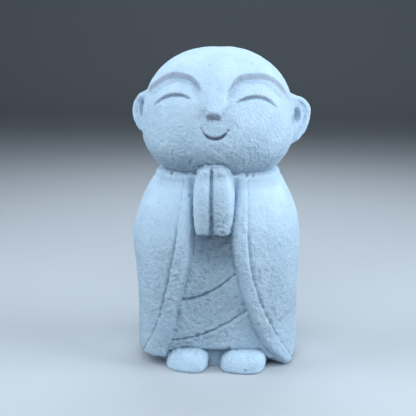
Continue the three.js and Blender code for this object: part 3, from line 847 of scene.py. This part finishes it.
def ear_mark(x, y, z, data):
    """Painted shade, with added sandiness, in an ear's hollow: an ellipse over the hollow's place, in front of
    the flap.
    """
    reach, (inwards, up), (wide, high) = data["reach"], data["hollow"], data["size"]
    middle = reach - (inwards + reach - HEAD_HALF_WIDTH) * math.cos(EAR_TURN)
    u = (x * data["side"] - middle) / wide
    v = (z - data["middle"] - up) / high
    return EAR_SHADE_AND_GRIT * smooth((1.1 - np.sqrt(u * u + v * v)) / 0.5) * (y < EAR_BACK)


def carved(place):
    """How far each point lies in a carved line of the face: under a brow's edge, in an eye or the smile,
    under the nose's tip or in an ear's hollow. The finish paints shade there by it, and grit makes it sandier."""
    x, y, z = place.T
    mark = brow_mark(x, z)
    for side, eye in EYES.items():
        below = (eye_line(x, side, eye) - z) / EYE_CUT["slope"]
        mark = np.maximum(mark, eye_share(x, side, eye) * line_mark(below))
    below = (mouth_line(x) - z) / MOUTH_CUT["slope"]
    mark = np.maximum(mark, mouth_share(x) * line_mark(below))
    mark = np.maximum(mark, nose_mark(x, z)) * smooth((-4 - y) / 2)
    for data in EARS:
        mark = np.maximum(mark, ear_mark(x, y, z, data))
    return mark * (z > HEAD_MIDDLE - HEAD_BELOW)


def painted_light_and_shade(place):
    """How much painted light (towards 1) or painted shade (towards 0) there is at each point, one half being
    neither: painted light on the feet and the lowest lap, painted shade under the chin, on the robe under the
    hands and on the base."""
    x, y, z = place.T
    front = smooth((-6 - y) / 6)
    chin = smooth((z - 57) / 2) * (1 - smooth((z - 64) / 7)) * (1 - smooth((-20.5 - y) / 1.5))
    lap = smooth((z - 33) / 4) * (1 - smooth((z - 44) / 2)) * (1 - smooth((np.abs(x) - 5) / 3))
    base = (1 - smooth((z - 5.5) / 1.5)) * smooth((18 + y) / 1.5) * (1 - smooth((np.abs(x) - 15) / 3))
    feet = (1 - smooth((z - 6.6) / 0.6)) * smooth((-17.5 - y) / 1.5)
    low = 0.5 * smooth((z - 6.5) / 2) * (1 - smooth((z - 14) / 6)) * (1 - smooth((np.abs(x - 3) - 9) / 4))
    return 0.5 + 0.5 * front * (np.maximum(feet, low) - np.maximum(np.maximum(chin, lap), base))


def note_surface(piece):
    """Keeps four values on every vertex for the finish: how hollow the skin is there, as the height of its
    surroundings over it along its normal, how sandy it is, how far it lies in a carved line, and how much
    painted light or painted shade it gets."""
    place = vertex_values(piece, "co") / UNIT
    around = surroundings(place, edge_ends(piece), HOLLOW_ROUNDS)
    marks = {
        "hollow": ((around - place) * vertex_values(piece, "normal")).sum(-1),
        "grit": grit(place),
        "carved": carved(place),
        "lit_and_shaded": painted_light_and_shade(place),
    }
    for name, values in marks.items():
        attribute = piece.data.attributes.new(name, "FLOAT", "POINT")
        attribute.data.foreach_set("value", values.astype(np.float32))


def noise(tree, where, scale, detail, roughness):
    """A noise pattern with that many waves along the figure's height."""
    node = tree.nodes.new("ShaderNodeTexNoise")
    node.inputs["Scale"].default_value = scale / HEIGHT
    node.inputs["Detail"].default_value = detail
    node.inputs["Roughness"].default_value = roughness
    tree.links.new(where, node.inputs["Vector"])
    return node.outputs["Fac"]


def ramp(tree, value, stops):
    """Colours along a value, from (value, colour) stops."""
    node = tree.nodes.new("ShaderNodeValToRGB")
    while len(node.color_ramp.elements) < len(stops):
        node.color_ramp.elements.new(0.5)
    for element, (at, colour) in zip(node.color_ramp.elements, stops):
        element.position = at
        element.color = (*colour, 1)
    tree.links.new(value, node.inputs["Fac"])
    return node.outputs["Color"]


def colour_mix(tree, kind, first, second):
    """A node that mixes two colours in that way, with its share still to be set."""
    node = tree.nodes.new("ShaderNodeMix")
    node.data_type = "RGBA"
    node.blend_type = kind
    tree.links.new(first, node.inputs["A"])
    tree.links.new(second, node.inputs["B"])
    return node


def tinted(tree, first, second, share=1.0):
    """The first colour, multiplied by that share of the second."""
    node = colour_mix(tree, "MULTIPLY", first, second)
    node.inputs["Factor"].default_value = share
    return node.outputs["Result"]


def vertex_mark(tree, name):
    """A value that note_surface keeps on the vertices."""
    node = tree.nodes.new("ShaderNodeAttribute")
    node.attribute_name = name
    return node.outputs["Fac"]


def arithmetic(tree, operation, first, second):
    """The sum, difference or product of two values, of which the second may be a plain number."""
    node = tree.nodes.new("ShaderNodeMath")
    node.operation = operation
    tree.links.new(first, node.inputs[0])
    if isinstance(second, float):
        node.inputs[1].default_value = second
    else:
        tree.links.new(second, node.inputs[1])
    return node.outputs[0]


def cement_body(tree, where):
    """Faint mottling, darker between the sand grains, with painted shade in hollows, in carved lines and where
    it is sheltered, and painted light on the feet and the lowest lap."""
    body = ramp(tree, noise(tree, where, 14, 4, 0.6), MOTTLE)
    sand = ramp(tree, noise(tree, where, 230, 3, 0.7), SAND_TINT)
    body = tinted(tree, body, sand, SAND_TINT_SHARE)
    # painted shade in the hollows of the skin
    hollow = arithmetic(tree, "ADD", vertex_mark(tree, "hollow"), 0.5)
    body = tinted(tree, body, ramp(tree, hollow, HOLLOW_SHADE_TINT))
    # painted shade in the carved lines
    body = tinted(tree, body, ramp(tree, vertex_mark(tree, "carved"), CARVED_LINE_SHADE_TINT))
    # painted light on the feet and lowest lap, painted shade under the chin, under the hands and on the base
    return tinted(tree, body, ramp(tree, vertex_mark(tree, "lit_and_shaded"), PAINTED_LIGHT_TINT))


def pinholes(tree, where):
    """1 in a small dot in the middle of a few of the cells, 0 elsewhere."""
    cells = tree.nodes.new("ShaderNodeTexVoronoi")
    cells.inputs["Scale"].default_value = PINHOLES / HEIGHT
    tree.links.new(where, cells.inputs["Vector"])
    chosen = ramp(tree, cells.outputs["Color"], PINHOLE_CHOICE)
    dot = ramp(tree, cells.outputs["Distance"], PINHOLE_EDGE)
    return tinted(tree, chosen, dot)


def grain_bump(tree, where, holes):
    """Normals of the sand grain, as strong as the surface is sandy, with the pinholes sunk in."""
    sand = arithmetic(tree, "ADD", noise(tree, where, 110, 3, 0.6), noise(tree, where, 230, 3, 0.65))
    grain = arithmetic(tree, "MULTIPLY", sand, vertex_mark(tree, "grit"))
    bump = tree.nodes.new("ShaderNodeBump")
    bump.inputs["Strength"].default_value = BUMP_STRENGTH
    bump.inputs["Distance"].default_value = BUMP_HEIGHT * UNIT
    tree.links.new(arithmetic(tree, "SUBTRACT", grain, holes), bump.inputs["Height"])
    return bump.outputs["Normal"]


def cement():
    """Pale blue-grey cast cement: matt, with pinholes painted dark as the shade in them, and a fine bump of
    sand grain.
    """
    material = bpy.data.materials.new("cast_cement")
    material.use_nodes = True
    tree = material.node_tree
    shader = tree.nodes["Principled BSDF"]
    shader.inputs["Roughness"].default_value = 0.92
    shader.inputs["Specular IOR Level"].default_value = 0.25
    where = tree.nodes.new("ShaderNodeTexCoord").outputs["Object"]
    holes = pinholes(tree, where)
    # the pinholes are painted dark, as the shade inside them
    dark = tree.nodes.new("ShaderNodeRGB")
    dark.outputs[0].default_value = PINHOLE_COLOUR
    colour = colour_mix(tree, "MIX", cement_body(tree, where), dark.outputs[0])
    tree.links.new(holes, colour.inputs["Factor"])
    tree.links.new(colour.outputs["Result"], shader.inputs["Base Color"])
    tree.links.new(grain_bump(tree, where, holes), shader.inputs["Normal"])
    return material


def figure():
    """The finished casting."""
    forms = [cloak(), robe(), head()]
    forms += [ear(**data) for data in EARS]
    forms += [foot(**data) for data in FEET]
    forms += [hand(**data) for data in HANDS]
    piece = thinned(weathered(eased_joints(melted(forms))))
    note_surface(piece)
    piece.data.materials.append(cement())
    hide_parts(NODE)
    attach(piece, "root")


def floor_paint():
    """The plain matt paint of the studio floor."""
    material = bpy.data.materials.new("pale_floor")
    material.use_nodes = True
    shader = material.node_tree.nodes["Principled BSDF"]
    shader.inputs["Base Color"].default_value = FLOOR_COLOUR
    shader.inputs["Roughness"].default_value = 0.9
    return material


def studio_floor():
    """A plain pale floor that curves up into a plain backdrop, as one profile drawn sideways."""
    reach = 12 * HEIGHT
    bend = 4 * HEIGHT
    angle = np.linspace(0, np.pi / 2, 24)
    along = np.concatenate([[-reach], reach / 2 + bend * np.sin(angle), [reach / 2 + bend]])
    high = np.concatenate([[0], bend * (1 - np.cos(angle)), [reach]]) + FLOOR_LEVEL
    rows = np.stack([np.stack([np.full_like(along, x), along, high], -1) for x in (-reach, reach)])
    count = len(along)
    here = np.arange(count - 1)
    one = np.stack([here, here + count, here + count + 1], -1)
    two = np.stack([here, here + count + 1, here + 1], -1)
    floor = new_piece("studio_floor", rows.reshape(-1, 3), np.concatenate([one, two]))
    shade_smooth(floor)
    floor.data.materials.append(floor_paint())


def area_light(name, place, size, power, colour):
    """A square soft light at a place given in heights of the figure, pointed at the figure's middle."""
    light = bpy.data.lights.new(name, "AREA")
    light.size = size * HEIGHT
    light.energy = power * HEIGHT**2
    light.color = colour
    lamp = bpy.data.objects.new(name, light)
    lamp.location = Vector(place) * HEIGHT
    aim = Vector((0, 0, 0.5 * HEIGHT)) - lamp.location
    lamp.rotation_euler = aim.to_track_quat("-Z", "Y").to_euler()
    bpy.context.scene.collection.objects.link(lamp)


def lights():
    """Soft boxes high and low on both sides, those on the right the stronger, with one before and one behind,
    and a faint sky."""
    for data in LIGHTS:
        area_light(**data, colour=LIGHT_COLOUR)
    world = bpy.data.worlds.new("studio")
    world.use_nodes = True
    world.node_tree.nodes["Background"].inputs["Color"].default_value = WORLD_COLOUR
    world.node_tree.nodes["Background"].inputs["Strength"].default_value = WORLD_STRENGTH
    bpy.context.scene.world = world
    bpy.context.scene.view_settings.view_transform = "Standard"


def camera():
    """The photograph's view: a little to the figure's left, from above, three and a half heights away."""
    azimuth, elevation, roll = (math.radians(VIEW[angle]) for angle in ("azimuth", "elevation", "roll"))
    level = math.cos(elevation)
    back = Vector((math.sin(azimuth) * level, -math.cos(azimuth) * level, math.sin(elevation)))
    side = Vector((math.cos(azimuth), math.sin(azimuth), 0))
    up = back.cross(side)
    right = side * math.cos(roll) + up * math.sin(roll)
    top = up * math.cos(roll) - side * math.sin(roll)
    lens = bpy.data.cameras.new("photo_camera")
    lens.sensor_width = VIEW["sensor"]
    lens.lens = VIEW["lens"]
    lens.shift_x, lens.shift_y = VIEW_SHIFT
    lens.clip_start = 0.01
    view = bpy.data.objects.new("photo_camera", lens)
    turn = Matrix((right, top, back)).transposed()
    middle = Vector((0, 0, 0.5 * HEIGHT))
    view.matrix_world = Matrix.Translation(middle + back * VIEW["distance"] * HEIGHT) @ turn.to_4x4()
    bpy.context.scene.collection.objects.link(view)
    bpy.context.scene.camera = view


figure()
studio_floor()
lights()
camera()
